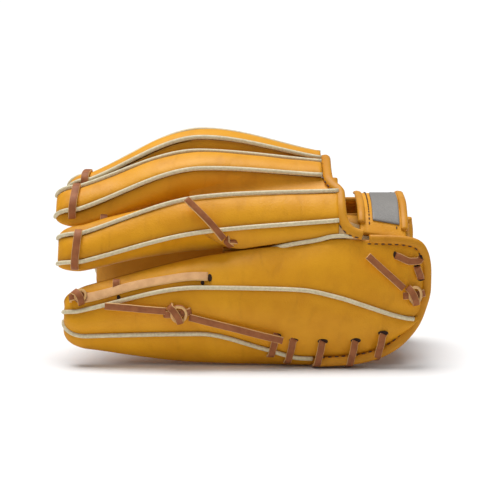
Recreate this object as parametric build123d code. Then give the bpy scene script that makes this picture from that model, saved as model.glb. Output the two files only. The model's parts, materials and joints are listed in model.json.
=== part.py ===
from build123d import *
import math
import os

# A baseball glove that stands on its little finger edge and its thumb edge, with the palm down.
# +X runs from the fingertips to the wrist, -Y is the little finger side and +Z is up.
# Every leather piece is a sheet described by its outline in planes across X. A point of such a
# plane is (y, z), and a sheet lays its thickness on the right of its outline's direction.

os.makedirs("parts", exist_ok=True)

# --- driving sizes, mm -----------------------------------------------------------------------
LEATHER = 3.0          # shell and palm leather
SEAM = 0.3             # room between two sewn pieces
WELT = 3.0             # piping along the edges of each finger back
FELT = 4.0             # padding behind the palm leather
LINING = 1.2           # soft leather against the hand
CROWN = 2.0            # bulge across a finger back
NOSE = 18.0            # length of a fingertip's rounding
LACE_WIDTH = 5.5
LACE_THICK = 2.2
BINDING_WIDTH = 7.0
BINDING_THICK = 5.0
FINGER_DEPTH = 30.0    # back to front of a stall at its knuckle
TIP_DEPTH = 14.0       # the same, where the tip's rounding starts
PALM_START = -15.0     # where the finger fronts meet the palm, along X
PALM_END = 128.0       # heel edge of the palm
KNUCKLE = 18.0         # where the stalls open into the hand, along X
INDEX_END = 62.0       # finger backs end at the hand opening
MIDDLE_END = 62.0
RING_END = 74.0
PINKY_TIP = -137.0
THUMB_TIP = -118.0
PINKY_END = 139.0      # heel ends of the two side flaps
THUMB_END = 130.0
WEB_TOP = (-118.0, -98.0)     # the web's outer bar, along X
WEB_BASE = (-52.0, -28.0)     # the web's inner bar
PINKY_HINGE = (-42.0, 86.0)   # fold lines between the palm and its side flaps, along X
THUMB_HINGE = (58.0, 100.0)
THUMB_CLOSING = 20.0   # degrees each flap turns toward the palm
PINKY_SWING = 10.0
STRAP_HINGE = (68.0, 117.0)   # the wrist strap's sewn end
STRAP_START = 90.0
STRAP_END = 126.0
STRAP_THICK = 4.0
STRAP_DROP = 6.0       # fall of the free end from the strap's near edge to its heel edge
PATCH = 1.5            # flat patch sewn to the strap
MIDDLE = (0.5, 9.5)    # middle of the glove's outline, which becomes the origin

WELT_RADIUS = WELT / 2
SKIN = LEATHER + SEAM
FOLD_ROOM = 0.8        # between a fold's bead and the sheet it turns against
WALL_GAP = 1.2         # between a stall's side and its front, which bends at the palm


# --- helpers ---------------------------------------------------------------------------------
def slope(before, here, after, j):
    """Slope of number j at the knot here, level where the number turns back."""
    first = (here[1][j] - before[1][j]) / max(here[0] - before[0], 1e-9)
    second = (after[1][j] - here[1][j]) / max(after[0] - here[0], 1e-9)
    if before is here or after is here:
        return first + second
    if first * second <= 0:
        return 0.0
    steepest = 2 * min(abs(first), abs(second))
    mean = (first + second) / 2
    return math.copysign(min(abs(mean), steepest), mean)


def along(x, knots):
    """Numbers at x on the smooth curve through knots, each (x, numbers), held past both ends."""
    if x <= knots[0][0]:
        return knots[0][1]
    if x >= knots[-1][0]:
        return knots[-1][1]
    i = max(k for k in range(len(knots) - 1) if knots[k][0] <= x)
    lo, hi = knots[i], knots[i + 1]
    before, after = knots[max(i - 1, 0)], knots[min(i + 2, len(knots) - 1)]
    span = hi[0] - lo[0]
    t = (x - lo[0]) / span
    values = []
    for j in range(len(lo[1])):
        slope_lo = slope(before, lo, hi, j) * span
        slope_hi = slope(lo, hi, after, j) * span
        values.append(
            (2 * t**3 - 3 * t**2 + 1) * lo[1][j]
            + (t**3 - 2 * t**2 + t) * slope_lo
            + (3 * t**2 - 2 * t**3) * hi[1][j]
            + (t**3 - t**2) * slope_hi
        )
    return tuple(values)


def pairs(numbers):
    """Flat numbers as (y, z) points."""
    return [(numbers[i], numbers[i + 1]) for i in range(0, len(numbers), 2)]


def unit(y, z):
    length = math.hypot(y, z)
    return y / length, z / length


def beside(path, distance):
    """The path moved to its right by distance, with mitred corners."""
    moved = []
    for i, (y, z) in enumerate(path):
        ins = unit(y - path[i - 1][0], z - path[i - 1][1]) if i else None
        outs = unit(path[i + 1][0] - y, path[i + 1][1] - z) if i + 1 < len(path) else None
        ins = ins or outs
        outs = outs or ins
        mean = unit(ins[0] + outs[0], ins[1] + outs[1])
        reach = distance / (mean[0] * ins[0] + mean[1] * ins[1])
        moved.append((y + mean[1] * reach, z - mean[0] * reach))
    return moved


def solid_of(sections):
    """Closed solid with flat runs between closed outlines of equally many (x, y, z) points."""
    return Solid.make_loft([Wire.make_polygon([Vector(*p) for p in s]) for s in sections], ruled=True)


def sheet(stations, path, thickness=LEATHER, inset=0.0, bead=None):
    """Sheet through path(x) at each station, laid inset to its right. A bead rounds its last end."""
    sections = []
    for x in stations:
        outer = beside(path(x), inset) if inset else path(x)
        inner = beside(path(x), inset + thickness)
        end = []
        radius = abs(thickness) / 2
        if bead:
            start = math.atan2(outer[-1][1] - bead[1], outer[-1][0] - bead[0])
            for step in (1, 2, 3):
                turn = start - bead[2] * math.pi * step / 4
                end.append((bead[0] + math.cos(turn) * radius, bead[1] + math.sin(turn) * radius))
        sections.append([(x, y, z) for y, z in outer + end + inner[::-1]])
    return solid_of(sections)


def bar(route, width, thickness, faces):
    """Flat bar along a route of points, with the flat side's outward direction at each of them."""
    sections = []
    for i, point in enumerate(route):
        here = Vector(*point)
        ahead = Vector(*route[min(i + 1, len(route) - 1)])
        behind = Vector(*route[max(i - 1, 0)])
        run = (ahead - behind).normalized()
        side = run.cross(Vector(*faces[i])).normalized()
        up = side.cross(run).normalized()
        corners = [(-1, 0), (1, 0), (1, 1), (-1, 1)]
        sections.append([tuple(here + side * (a * width / 2) + up * (b * thickness)) for a, b in corners])
    return solid_of(sections)


def piping(stations, centre):
    """Six-sided piping of the welt's diameter through centre(x)."""
    sections = []
    for x in stations:
        y, z = centre(x)
        turns = [math.radians(60 * k) for k in range(6)]
        sections.append([(x, y + WELT_RADIUS * math.cos(a), z + WELT_RADIUS * math.sin(a)) for a in turns])
    return solid_of(sections)


def between(a, b, share):
    return a[0] + (b[0] - a[0]) * share, a[1] + (b[1] - a[1]) * share


NODES = {}


def node(name, *solids):
    """One named piece, or one group of like pieces."""
    NODES[name] = list(solids)


# --- the three stalls on the back of the hand --------------------------------------------------
class Stall:
    """A finger stall: back centre, roll of its back above the horizontal, and its widths along X."""

    def __init__(self, tip, end, knots):
        self.tip = tip
        self.end = end
        self.knots = knots

    def frame(self, x):
        y, z, roll, width, depth, low, high = along(x, self.knots)
        into = min(max((x - self.tip) / NOSE, 0.0), 1.0)
        nose = math.sqrt(1 - (1 - into) ** 2)
        narrow = 0.45 + 0.55 * nose
        depth = max(depth * nose, 2 * LEATHER + 1.0)
        return y, z, math.radians(roll), width * narrow, depth, low * narrow, high * narrow

    def at(self, x, across, deep):
        y, z, roll = self.frame(x)[:3]
        return (
            y + math.sin(roll) * across + math.cos(roll) * deep,
            z + math.cos(roll) * across - math.sin(roll) * deep,
        )

    def back(self, x):
        half = self.frame(x)[3] / 2
        return [self.at(x, -half, 0), self.at(x, 0, -CROWN), self.at(x, half, 0)]

    def foot(self, x, edge):
        """Depth of a side's foot, clear of the front however far the side leans out to its edge."""
        width, depth = self.frame(x)[3:5]
        lean = max(edge - width / 2, 0.0) / depth
        return depth - SKIN - WALL_GAP - LEATHER * lean

    def low_side(self, x):
        width, low = (self.frame(x)[i] for i in (3, 5))
        return [self.at(x, -low, self.foot(x, low)), self.at(x, -width / 2, SKIN)]

    def high_side(self, x):
        width, high = (self.frame(x)[i] for i in (3, 6))
        return [self.at(x, width / 2, SKIN), self.at(x, high, self.foot(x, high))]

    def front(self, x):
        depth, low, high = self.frame(x)[4:]
        return [self.at(x, high, depth), self.at(x, -low, depth)]

    def welt(self, x, side):
        half = self.frame(x)[3] / 2
        return self.at(x, side * (half + WELT_RADIUS + SEAM), LEATHER / 2)

    def stations(self, start, end):
        shown = [self.tip, self.tip + 4, self.tip + 10, self.tip + NOSE, -95, -60, -32, 0, KNUCKLE, 40]
        return [start] + [x for x in shown if start < x < end] + [end]


index = Stall(-137, INDEX_END, [
    (-119, (17, 137, 85, 18, TIP_DEPTH, 8.5, 12)),
    (-32, (34.5, 169.8, 84, 28, FINGER_DEPTH, 15.5, 25)),
    (60, (35, 152.5, 88, 26, 26, 14.5, 24)),
])
middle = Stall(-145, MIDDLE_END, [
    (-127, (-7, 125, 52, 18, TIP_DEPTH, 9, 8)),
    (-32, (-3, 153, 69, 27.7, FINGER_DEPTH, 17.5, 15.5)),
    (60, (-2, 146.3, 73.5, 25, 28, 14, 14.5)),
])
ring = Stall(-142, RING_END, [
    (-124, (-40, 89.4, 24, 19, TIP_DEPTH, 12, 12)),
    (-32, (-45, 115.5, 31, 27.3, FINGER_DEPTH, 17, 17.5)),
    (74, (-41, 122, 43.6, 26, 26, 16, 14)),
])

for name, stall in (("index", index), ("middle", middle), ("ring", ring)):
    whole = stall.stations(stall.tip, stall.end)
    walls = stall.stations(stall.tip + 4, KNUCKLE)
    fronts = stall.stations(stall.tip, PALM_START)
    node(f"{name}_back", sheet(whole, stall.back))
    node(f"{name}_sides", sheet(walls, stall.low_side), sheet(walls, stall.high_side))
    node(f"{name}_front", sheet(fronts, stall.front))
    node(f"{name}_welts", *[piping(whole, lambda x, s=side: stall.welt(x, s)) for side in (-1, 1)])

# --- skin between the finger backs -------------------------------------------------------------
def valley(low, high, depth_start, depth_end):
    """Path across the valley between two backs, from the lower finger to the higher one."""
    def path(x):
        share = (x - KNUCKLE) / (low.end - KNUCKLE)
        deep = depth_start + (depth_end - depth_start) * min(max(share, 0.0), 1.0)
        low_half = low.frame(x)[3] / 2
        high_half = high.frame(x)[3] / 2
        start, stop = low.at(x, low_half, SKIN + SEAM), high.at(x, -high_half, SKIN + SEAM)
        ground = between(low.at(x, low_half, deep), high.at(x, -high_half, deep), 0.5)
        return [start, ground, stop]
    return path


def bridge_stations(end):
    return [KNUCKLE + SEAM, 40, end]


node("middle_ring_gusset", sheet(bridge_stations(MIDDLE_END), valley(ring, middle, 14, 8)))
node("index_middle_gusset", sheet(bridge_stations(INDEX_END), valley(middle, index, 11, 8)))


def ring_skirt(x):
    """From the fold over the little finger up to the ring finger's lower welt."""
    top = ring.at(x, -ring.frame(x)[3] / 2, SKIN + SEAM)
    foot = (PINKY_HINGE[0] - 8.5, PINKY_HINGE[1] + 10.5)
    return [foot, top]


node("ring_gusset", sheet([KNUCKLE + SEAM, 40, RING_END], ring_skirt))


def thumb_side(x):
    """From the index finger's upper edge down to the fold over the thumb."""
    top = index.at(x, index.frame(x)[3] / 2, SKIN + SEAM)
    return [top, (71, 138), (76, 124), (THUMB_HINGE[0] + 17, THUMB_HINGE[1] + 13)]


node("thumb_side_back", sheet([KNUCKLE + SEAM, 40, INDEX_END], thumb_side))

# --- little finger flap --------------------------------------------------------------------------
PINKY_OUTER = [  # along X: floor edge, lower welt, upper welt, top edge
    (PINKY_TIP, (-49, 22, -51, 27, -51, 42, -49, 49)),
    (-127, (-49, 13, -57, 24, -58, 42.7, -49, 60)),
    (-32, (-50, 1.5, -64, 27, -66.5, 62.5, -47, 84)),
    (45, (-52, 0, -62, 8, -68, 61, -52, 93)),
    (95, (-52, 6.5, -61, 10, -66, 48, -52, 93)),
    (120, (-50, 18, -56, 21, -61, 39, -51, 93)),
    (PINKY_END, (-46, 40, -49, 43, -53, 48, -50, 92)),
]
PINKY_INNER = [  # top edge, middle, floor edge
    (PINKY_TIP, (-44, 47, -43, 36, -44, 24)),
    (-127, (-40.5, 59, -38, 38, -43, 13.5)),
    (-32, (-40.5, 84, -36, 45, -43.8, 3)),
    (PALM_START, (-40.5, 86, -34, 48, -44.8, 2.5)),
    (45, (-40.5, 86, -32, 48, -45.6, 2)),
    (95, (-40.5, 86, -33, 50, -45.6, 7.5)),
    (PALM_END, (-40.5, 86, -35, 60, -42, 26)),
]
PINKY_STATIONS = [PINKY_TIP, -133, -127, -95, -60, -32, 0, 45, 70, 95, 110, 120, 130, PINKY_END]


def pinky_outer(x):
    return pairs(along(x, PINKY_OUTER))


def trimmed(path, start, stop):
    """A path without its first and last bit, where a welt or a seam lies."""
    first, last = path[0], path[-1]
    ahead = unit(path[1][0] - first[0], path[1][1] - first[1])
    behind = unit(path[-2][0] - last[0], path[-2][1] - last[1])
    head = (first[0] + ahead[0] * start, first[1] + ahead[1] * start)
    foot = (last[0] + behind[0] * stop, last[1] + behind[1] * stop)
    return [head] + path[1:-1] + [foot]


GAP = WELT + 2 * SEAM
node("pinky_back", sheet(PINKY_STATIONS, lambda x: trimmed(pinky_outer(x)[1:3], 0.0, 0.0)))
node("pinky_upper_side", sheet(PINKY_STATIONS, lambda x: trimmed(pinky_outer(x)[2:4], GAP, 0.0)))
node("pinky_lower_side", sheet(PINKY_STATIONS[:-4], lambda x: trimmed(pinky_outer(x)[0:2], 0.0, GAP)))


def corner_welt(outline, i):
    """Centre line of piping set in the corner i of an outline, just outside the seam."""
    def centre(x):
        path = outline(x)
        y, z = path[i]
        ins = unit(y - path[i - 1][0], z - path[i - 1][1])
        outs = unit(path[i + 1][0] - y, path[i + 1][1] - z)
        across = unit(ins[0] + outs[0], ins[1] + outs[1])
        out = (WELT_RADIUS + SEAM) / (across[0] * ins[0] + across[1] * ins[1])
        return y - across[1] * out, z + across[0] * out
    return centre


node("pinky_welts", *[piping(PINKY_STATIONS, corner_welt(pinky_outer, i)) for i in (1, 2)])


def pinky_inner(x):
    path = pairs(along(x, PINKY_INNER))
    if x >= PALM_START:
        path[0] = (PINKY_HINGE[0] + LEATHER / 2, PINKY_HINGE[1])
    return path


PINKY_BEAD = (*PINKY_HINGE, -1)
FRONT_STATIONS = [PINKY_TIP, -133, -127, -95, -60, -32, PALM_START - SEAM]
HAND_STATIONS = [PALM_START, 0, KNUCKLE + SEAM, 32, 45, 58, 70, 82, 95, 110, 120, PALM_END]
node("pinky_front", sheet(FRONT_STATIONS, pinky_inner))
node("pinky_palm", sheet(HAND_STATIONS, lambda x: pinky_inner(x)[::-1], -LEATHER, bead=PINKY_BEAD))

# --- thumb flap ------------------------------------------------------------------------------------
THUMB_OUTER = [  # along X: top edge, upper welt, lower welt, floor edge
    (THUMB_TIP, (66, 83, 69, 76, 70, 54, 68, 45)),
    (-108, (63, 96, 75, 86, 79, 42, 72, 30)),
    (-60, (63, 103, 83, 91, 87, 37, 79, 8)),
    (-10, (63, 103, 84.5, 92, 88, 34, 80, 0.5)),
    (60, (63, 103, 85, 92, 87, 30, 80, 0)),
    (100, (63, 103, 82, 93, 84, 34, 76, 7)),
    (THUMB_END, (63, 103, 76, 94, 77, 45, 69, 27)),
]
THUMB_INNER = [  # floor edge, middle, top edge
    (THUMB_TIP, (63, 46, 62, 62, 61.5, 78)),
    (-108, (64, 31, 57, 58, 56.5, 93)),
    (-60, (73, 9, 56, 50, 56.5, 98)),
    (PALM_START, (73.3, 1.5, 56, 50, 56.5, 100)),
    (60, (73.3, 0.8, 56, 50, 56.5, 100)),
    (100, (69.5, 8, 55.5, 54, 56.5, 100)),
    (PALM_END, (62.4, 27.5, 55, 62, 56.5, 100)),
]
THUMB_STATIONS = [THUMB_TIP, -114, -108, -85, -60, -32, 0, 45, 70, 95, 110, 120, THUMB_END]


def thumb_outer(x):
    return pairs(along(x, THUMB_OUTER))


def thumb_inner(x):
    path = pairs(along(x, THUMB_INNER))
    if x >= PALM_START:
        path[-1] = (THUMB_HINGE[0] - LEATHER / 2, THUMB_HINGE[1])
    return path


THUMB_FRONTS = [THUMB_TIP, -114, -108, -85, -60, -32, PALM_START - SEAM]
node("thumb_back", sheet(THUMB_STATIONS, lambda x: thumb_outer(x)[1:3]))
node("thumb_upper_side", sheet(THUMB_STATIONS, lambda x: trimmed(thumb_outer(x)[0:2], 0.0, GAP)))
node("thumb_lower_side", sheet(THUMB_STATIONS, lambda x: trimmed(thumb_outer(x)[2:4], GAP, 0.0)))
node("thumb_welts", *[piping(THUMB_STATIONS, corner_welt(thumb_outer, i)) for i in (1, 2)])
node("thumb_front", sheet(THUMB_FRONTS, thumb_inner))
node("thumb_palm", sheet(HAND_STATIONS, thumb_inner, bead=(*THUMB_HINGE, 1)))


# --- palm: leather, padding and lining --------------------------------------------------------------
def hinge_end(hinge, toward, thickness, side, flap=None, swing=0.0):
    """End of a sheet that meets a fold's bead, short enough for the flap to swing up to it."""
    out = unit(toward[0] - hinge[0], toward[1] - hinge[1])
    reach = thickness / 2 + FOLD_ROOM
    if flap:
        away = unit(flap[0] - hinge[0], flap[1] - hinge[1])
        angle = math.acos(out[0] * away[0] + out[1] * away[1]) - math.radians(swing)
        if angle < math.pi / 2:
            reach = (reach + thickness / 2 * math.cos(angle)) / math.sin(angle)
    return (
        hinge[0] + out[0] * reach + side * out[1] * thickness / 2,
        hinge[1] + out[1] * reach - side * out[0] * thickness / 2,
    )


HEEL_PATH = [(43, 95), (32, 84), (16, 78), (-8, 77), (-28, 80)]


def palm(x):
    """Pocket face of the palm between the two folds, following the finger fronts at first."""
    share = 1 - (1 - min(max((x - KNUCKLE) / (PALM_END - KNUCKLE), 0.0), 1.0)) ** 2
    held = min(x, KNUCKLE + SEAM)
    index_edges, middle_edges, ring_edges = (f.front(held) for f in (index, middle, ring))
    arch = [
        (THUMB_HINGE[0] + 4, THUMB_HINGE[1] + 20),
        index_edges[0],
        middle_edges[0],
        ring_edges[0],
        ring_edges[1],
    ]
    path = [between(a, b, share) for a, b in zip(arch, HEEL_PATH)]
    start = hinge_end(THUMB_HINGE, path[0], LEATHER, -1, thumb_inner(x)[1], THUMB_CLOSING)
    stop = hinge_end(PINKY_HINGE, path[-1], LEATHER, 1, pinky_inner(x)[1], PINKY_SWING)
    return [start] + path + [stop]


node("palm", sheet(HAND_STATIONS, palm))
PADDED = [x for x in HAND_STATIONS if x > KNUCKLE]
node("palm_felt", sheet(PADDED, lambda x: palm(x)[2:-2], FELT, inset=SKIN))
node("palm_lining", sheet(PADDED, lambda x: palm(x)[2:-2], LINING, inset=SKIN + FELT + SEAM))
node("pinky_felt", sheet(PADDED[:-1], lambda x: trimmed(pinky_inner(x), 12, 14), FELT, inset=SKIN))
node("thumb_felt", sheet(PADDED[:-1], lambda x: trimmed(thumb_inner(x), 14, 12), FELT, inset=SKIN))
linings = []
for stall in (index, middle, ring):
    def under(x, s=stall):
        return trimmed(s.back(x), LEATHER, LEATHER)
    linings.append(sheet([KNUCKLE + SEAM, 40, stall.end], under, LINING, inset=SKIN))
node("back_lining", *linings)


# --- web -------------------------------------------------------------------------------------------
def web(x):
    """From the index finger's front edge down to the fold along the thumb."""
    depth, high = index.frame(x)[4], index.frame(x)[6]
    top = index.at(x, high - LEATHER - 1, depth + 3 * SEAM)
    foot = hinge_end(THUMB_HINGE, (THUMB_HINGE[0] + 3, THUMB_HINGE[1] + 20), LEATHER, 1)
    waist = between(top, foot, 0.5)
    return [top, (waist[0] + 5, waist[1] + 3), foot]


def post(x):
    top, waist, foot = web(x)
    return [between(top, waist, 0.35), waist, between(waist, foot, 0.65)]


node("web_top_bar", sheet(WEB_TOP, web))
node("web_base_bar", sheet(WEB_BASE, web))
node("web_post", sheet([WEB_TOP[1] + SEAM, -75, WEB_BASE[0] - SEAM], post))

WEB_LACE = 5.0         # along X, and room on either side of the post
crossings = []
for x in (WEB_TOP[1] + 5, WEB_BASE[0] - 5):
    for first, last in ((0, 1), (1, 2)):
        ends = [web(x)[first], web(x)[last]]
        upper, lower = (0.04, 0.30) if first == 0 else (0.70, 0.96)
        run = [between(*ends, upper), between(*ends, lower)]
        crossings.append(sheet([x - WEB_LACE / 2, x + WEB_LACE / 2], lambda _, r=run: r, LACE_THICK))
node("web_lace", *crossings)


# --- wrist strap -------------------------------------------------------------------------------------
def strap(x):
    drop = (x - STRAP_START) / (STRAP_END - STRAP_START) * STRAP_DROP
    top = STRAP_HINGE[1] + STRAP_THICK / 2
    free_end = [(-46, 102 - drop), (-30, 116 - drop)]
    return free_end + [(0, top + 2), (35, top + 3), (58, top + 1), (STRAP_HINGE[0], top)]


def strap_base(x):
    start = hinge_end(STRAP_HINGE, (STRAP_HINGE[0] + 8, STRAP_HINGE[1] - 4), STRAP_THICK, -1)
    return [start, (start[0] + 8, start[1] - 4)]


STRAP_STATIONS = [STRAP_START, (STRAP_START + STRAP_END) / 2, STRAP_END]
node("wrist_strap", sheet(STRAP_STATIONS, strap, STRAP_THICK, bead=(*STRAP_HINGE, 1)))
PATCH_STATIONS = [STRAP_START + 10, STRAP_END - 5]
node("strap_patch", sheet(PATCH_STATIONS, lambda x: strap(x)[1:4], PATCH, inset=-PATCH - SEAM))
node("strap_lining", sheet(STRAP_STATIONS, lambda x: strap(x)[1:-1], LINING, inset=STRAP_THICK + 2 * SEAM))
node("thumb_heel_panel", sheet([INDEX_END + SEAM, STRAP_START, STRAP_END], strap_base, STRAP_THICK))


# --- bindings ------------------------------------------------------------------------------------
OPENING_ROUTE = [  # along the edge of the hand opening, from the index finger to the strap
    (INDEX_END + 4, 49, 149), (INDEX_END + 4, 22, 149), (MIDDLE_END + 4, 10, 145),
    (MIDDLE_END + 4, -14, 138), (MIDDLE_END + 6, -21, 135.5), (RING_END + 5.2, -29, 131),
    (RING_END + 5, -42, 119), (RING_END + 9, -49, 109), (RING_END + 17, -51, 102),
]
OPENING_FACES = [
    (0, 0, 1), (0, 0, 1), (0, -0.3, 1), (0, -0.5, 1), (0, -0.6, 1), (0, -0.8, 1),
    (0, -1, 0.8), (0, -1, 0.5), (0, -1, 0.4),
]
node("opening_binding", bar(OPENING_ROUTE, BINDING_WIDTH, BINDING_THICK, OPENING_FACES))


PINKY_RIM = [
    (PINKY_END + SEAM, -48, 89), (PINKY_END + SEAM, -49, 70), (PINKY_END + SEAM, -49, 46),
]
node("pinky_heel_binding", bar(PINKY_RIM, BINDING_WIDTH, BINDING_THICK, [(1, 0, 0)] * 3))
THUMB_RIM = [(THUMB_END + SEAM, 62, 97), (THUMB_END + SEAM, 69, 70), (THUMB_END + SEAM, 67, 32)]
node("thumb_heel_binding", bar(THUMB_RIM, BINDING_WIDTH, BINDING_THICK, [(1, 0, 0)] * 3))
HEEL_BAND = [PALM_END + SEAM, PALM_END + SEAM + BINDING_WIDTH]
node("palm_heel_binding", sheet(HEEL_BAND, lambda x: trimmed(palm(PALM_END), 5, 5), BINDING_THICK, inset=-1))


# --- laces --------------------------------------------------------------------------------------
HALF_LACE = LACE_WIDTH / 2
HOLE_ROOM = 0.3        # round a lace, in the hole it goes through


def cross_band(x, path, room=0.0):
    """Flat lace in a plane across X, along a path of its outer face, or the hole it needs."""
    stations = [x - HALF_LACE - room, x + HALF_LACE + room]
    return sheet(stations, lambda _: path, LACE_THICK + 2 * room, inset=-room)


def cut(name, *tools):
    """Cuts holes through a node's solids."""
    solids = []
    for solid in NODES[name]:
        for tool in tools:
            solid = (solid - tool).solids()[0]
        solids.append(solid)
    NODES[name] = solids


# a staple of lace over each fingertip, its ends through the back leather beside the welts
STAPLE_BACK = 15.0     # from the fingertip
KNOT_LIFT = 1.1        # a knot sits on the highest point under it
staples = []
for name, stall in (("index", index), ("middle", middle), ("ring", ring)):
    x = stall.tip + STAPLE_BACK
    half = stall.frame(x)[3] / 2 - SKIN - SEAM
    inside = LEATHER + 2.0
    over = -(CROWN + SEAM + LACE_THICK)
    corners = [(-half, inside), (-half, over), (half, over), (half, inside)]
    staples.append(cross_band(x, [stall.at(x, a, d) for a, d in corners]))
    legs = [
        cross_band(x, [stall.at(x, -half, LEATHER + 4), stall.at(x, -half, over - 1)], HOLE_ROOM),
        cross_band(x, [stall.at(x, half, over - 1), stall.at(x, half, LEATHER + 4)], HOLE_ROOM),
    ]
    cut(f"{name}_back", *legs)
node("fingertip_lace", *staples)


# lace that ties each stall to the next, through their facing sides
STUD_X = -107.0
PINKY_STUD_X = -96.0
STUD_DEEP = 9.0
studs = []
for low, high, names in ((middle, index, ("middle", "index")), (ring, middle, ("ring", "middle"))):
    start = low.at(STUD_X, low.frame(STUD_X)[3] / 2 - 4, STUD_DEEP)
    stop = high.at(STUD_X, 4 - high.frame(STUD_X)[3] / 2, STUD_DEEP)
    studs.append(cross_band(STUD_X, [start, stop]))
    for name in names:
        cut(f"{name}_sides", cross_band(STUD_X, [start, stop], HOLE_ROOM))
node("finger_lace", *studs)


def on_skin(outline, x, corner, distance, lift):
    """Point over an outline's side that leaves the corner, with the side's outward direction."""
    path = outline(x)
    dy, dz = unit(path[corner + 1][0] - path[corner][0], path[corner + 1][1] - path[corner][1])
    y = path[corner][0] + dy * distance - dz * lift
    z = path[corner][1] + dz * distance + dy * lift
    return (x, y, z), (0, -dz, dy)


def skin_bar(places, width=LACE_WIDTH, thickness=LACE_THICK, outline=pinky_outer):
    """Flat lace over the little finger flap through (x, corner, distance, lift) places."""
    found = [on_skin(outline, *place) for place in places]
    return bar([point for point, _ in found], width, thickness, [face for _, face in found])


top_stud = [on_skin(pinky_outer, PINKY_STUD_X, 2, 14.5, lift)[0][1:] for lift in (-8, 6)]
cut("pinky_upper_side", cross_band(PINKY_STUD_X, top_stud, HOLE_ROOM))
node("pinky_stud_lace", cross_band(PINKY_STUD_X, top_stud))

STRIP_WIDTH = 6.5
strip = [(x, 2, GAP + STRIP_WIDTH / 2 + 1, SEAM) for x in (-118, -95, -60, -32, -26)]
node("pinky_lace_strip", skin_bar(strip, STRIP_WIDTH))


def knot(centre, facing, along_x, across, height):
    """Flat knot of lace with rounded edges, its flat side turned outward."""
    block = Plane(origin=centre, x_dir=(1, 0, 0), z_dir=facing) * Box(along_x, across, height)
    return fillet(block.edges(), min(along_x, across, height) * 0.3).solids()[0]


def surface_knot(x, corner, distance, along_x, across, height):
    centre, facing = on_skin(pinky_outer, x, corner, distance, KNOT_LIFT + height / 2)
    return knot(centre, facing, along_x, across, height)


node("pinky_lace_knot", surface_knot(-49, 1, 16, 16, 15, 6))
node("pinky_tip_knot", surface_knot(-124, 2, 12, 9, 8, 5))
node("heel_knot", surface_knot(131, 2, 16, 13, 16, 7))
CROTCH = (-8.0, 12.0)  # the knot between ring and little finger: its place along X and its depth
crotch_at = ring.at(CROTCH[0], -ring.frame(CROTCH[0])[5] - 1.4, CROTCH[1])
crotch_roll = ring.frame(CROTCH[0])[2]
crotch_facing = (0, -math.sin(crotch_roll), -math.cos(crotch_roll))
node("crotch_knot", knot((CROTCH[0], *crotch_at), crotch_facing, 11, 10, 4))

wrist = [(119, 2, 45, KNOT_LIFT), (PINKY_END - 2, 2, 41, KNOT_LIFT)]
drop = [(PINKY_END - 5, 2, 36, KNOT_LIFT), (PINKY_END - 3, 2, 28, KNOT_LIFT)]
node("wrist_lace", skin_bar(wrist), skin_bar(drop))

HEEL_LACE_X = (24.0, 37.0, 59.0, 84.0, 105.0)
loops = []
for x in HEEL_LACE_X:
    found = [on_skin(pinky_outer, x, 1, distance, SEAM) for distance in (3.6, 13)]
    loops.append(bar([point for point, _ in found], LACE_WIDTH, LACE_THICK, [face for _, face in found]))
node("heel_lace", *loops)


# --- free ends of lace ------------------------------------------------------------------------------
def tail_of(start, stop, facing, bends):
    """Ribbon from start to stop that lifts off by bends, (distance along, height), and its radii."""
    start, stop = Vector(*start), Vector(*stop)
    run = (stop - start).normalized()
    side = run.cross(Vector(*facing)).normalized()
    up = side.cross(run).normalized()
    points = [start + run * u + up * v for u, v in bends]
    radii = []
    for before, here, after in zip(points, points[1:], points[2:]):
        turn = math.radians((here - before).get_angle(after - here))
        shorter = min((here - before).length, (after - here).length)
        radii.append(0.45 * shorter / math.tan(turn / 2))
    path = FilletPolyline(*points, radius=radii)
    start_plane = Plane(origin=points[0], x_dir=side, z_dir=points[1] - points[0])
    ribbon = sweep(start_plane * Rectangle(LACE_WIDTH, LACE_THICK), path=path).solids()[0]
    expected = LACE_WIDTH * LACE_THICK * path.length
    print("tail radii", [round(r) for r in radii], "volume", round(ribbon.volume), "of", round(expected))
    return ribbon


LIFT = SEAM + LACE_THICK / 2
knot_left, _ = on_skin(pinky_outer, -57.5, 1, 19, LIFT + 3)
left_end, pinky_face = on_skin(pinky_outer, -103, 1, 24, LIFT + 5)
left_bends = [(0, 0), (16, 2.0), (32, 1.0), (47, 3.0)]
node("pinky_left_tail", tail_of(knot_left, left_end, pinky_face, left_bends))
knot_right, _ = on_skin(pinky_outer, -40, 1, 14, LIFT + 1.5)
right_end, _ = on_skin(pinky_outer, 31, 1, 13, LIFT + 5)
right_bends = [(0, 0), (18, 1.5), (37, 0.5), (56, 2.5), (73, 1.0)]
node("pinky_right_tail", tail_of(knot_right, right_end, pinky_face, right_bends))
heel_left, heel_face = on_skin(pinky_outer, 122.8, 2, 22, LIFT + 3)
heel_end, _ = on_skin(pinky_outer, 97, 2, 37, LIFT + 3)
heel_bends = [(0, 0), (11, 1.5), (22, 0.8), (37, 3.0)]
node("heel_tail", tail_of(heel_left, heel_end, heel_face, heel_bends))
ring_face = (0, -math.cos(crotch_roll), math.sin(crotch_roll))
crotch_start = (-14, *ring.at(-14, -22, 1))
crotch_stop = (-38, *ring.at(-38, 5, -8))
crotch_bends = [(0, 0), (13, 3.5), (26, 3.0), (42, 0.5)]
node("crotch_tail", tail_of(crotch_start, crotch_stop, ring_face, crotch_bends))

# --- one STEP file for each node, with the origin under the middle of the glove -----------------------
TO_ORIGIN = Location((-MIDDLE[0], -MIDDLE[1], 0))
for name, solids in NODES.items():
    placed = [solid.moved(TO_ORIGIN) for solid in solids]
    shape = Compound(children=placed) if len(placed) > 1 else placed[0]
    export_step(shape, f"parts/{name}.step")
    print(name, [round(solid.volume) for solid in placed])
for name, hinge in (("pinky", PINKY_HINGE), ("thumb", THUMB_HINGE), ("strap", STRAP_HINGE)):
    print(name, "fold at y, z", hinge[0] - MIDDLE[1], hinge[1])
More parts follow.
